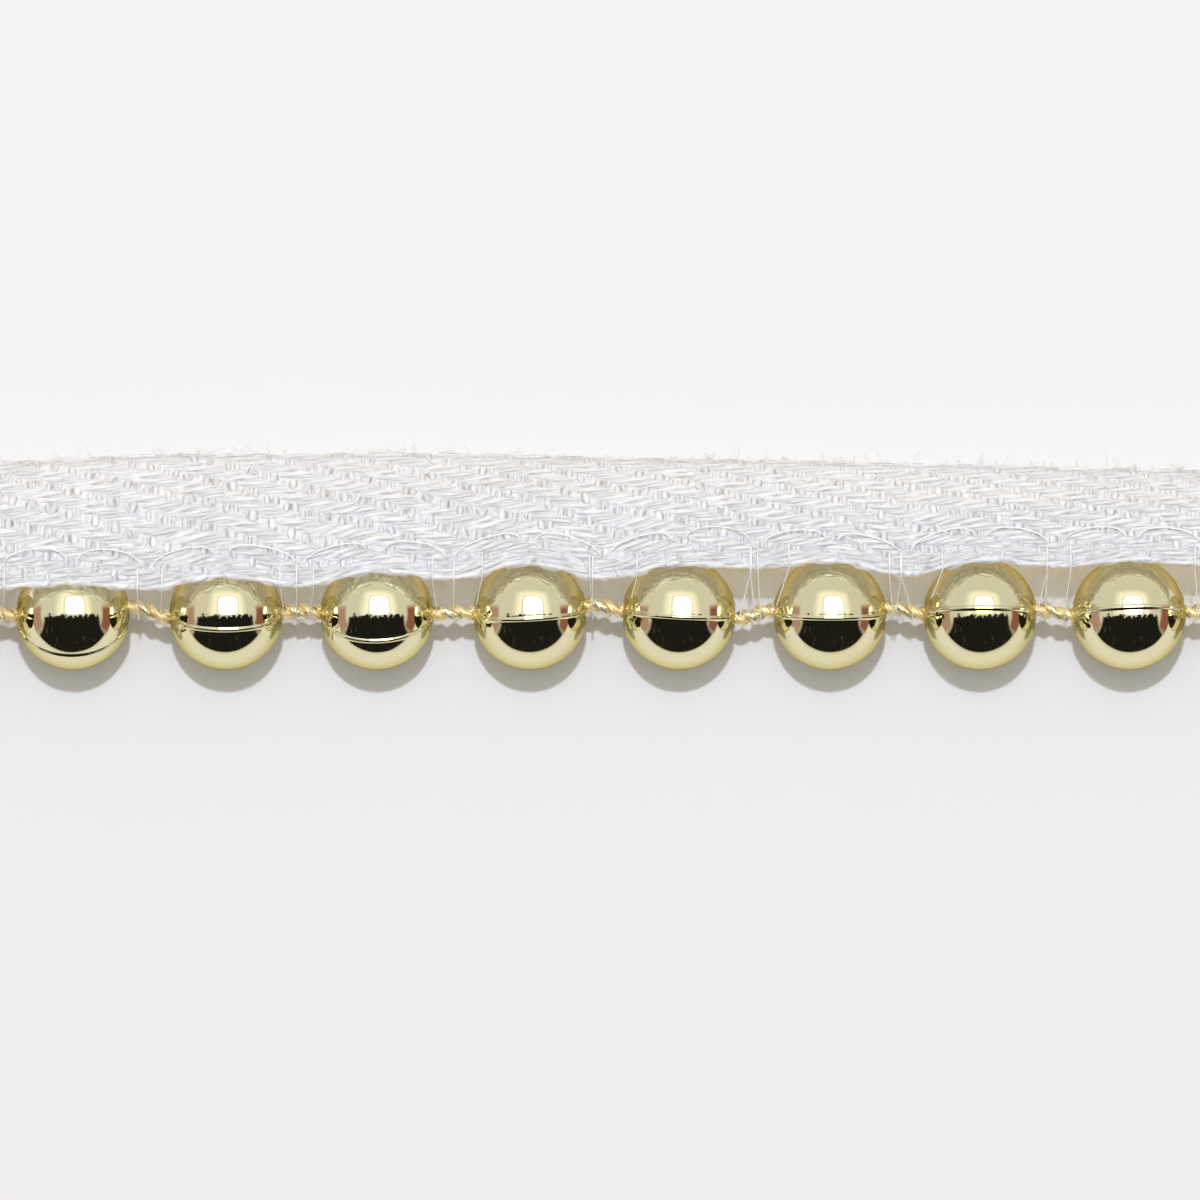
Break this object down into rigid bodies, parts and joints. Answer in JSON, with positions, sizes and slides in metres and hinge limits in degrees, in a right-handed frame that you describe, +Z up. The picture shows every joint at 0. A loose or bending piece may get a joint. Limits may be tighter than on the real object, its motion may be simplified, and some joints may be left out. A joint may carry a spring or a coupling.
{
  "type": "beaded tape trim",
  "caption": "Sewing trim: metallised ball beads moulded on a twisted thread and stitched along the edge of a white cotton twill tape, lying on a table.",
  "frame": {"origin": "centre of the trim's length and depth, at the height of the table it lies on", "axes": "+X along the trim, +Y from the balls towards the tape's far edge, +Z up"},
  "size_m": [0.0668, 0.0096, 0.0059],
  "materials": {
    "gold_plating": "vacuum-metallised pale gold, mirror bright, crinkled round the thread holes",
    "gold_thread": "twisted polyester thread, metallised in patches over its yellow dye",
    "white_cotton": "bleached cotton, four-shaft twill, matt",
    "clear_nylon": "clear monofilament sewing thread"
  },
  "bodies": {
    "root": {"tape": "white_cotton", "thread": "gold_thread", "bead_01": "gold_plating", "bead_02": "gold_plating", "bead_03": "gold_plating", "bead_04": "gold_plating", "bead_05": "gold_plating", "bead_06": "gold_plating", "bead_07": "gold_plating", "bead_08": "gold_plating", "bead_09": "gold_plating", "bead_10": "gold_plating"}
  },
  "joints": []
}
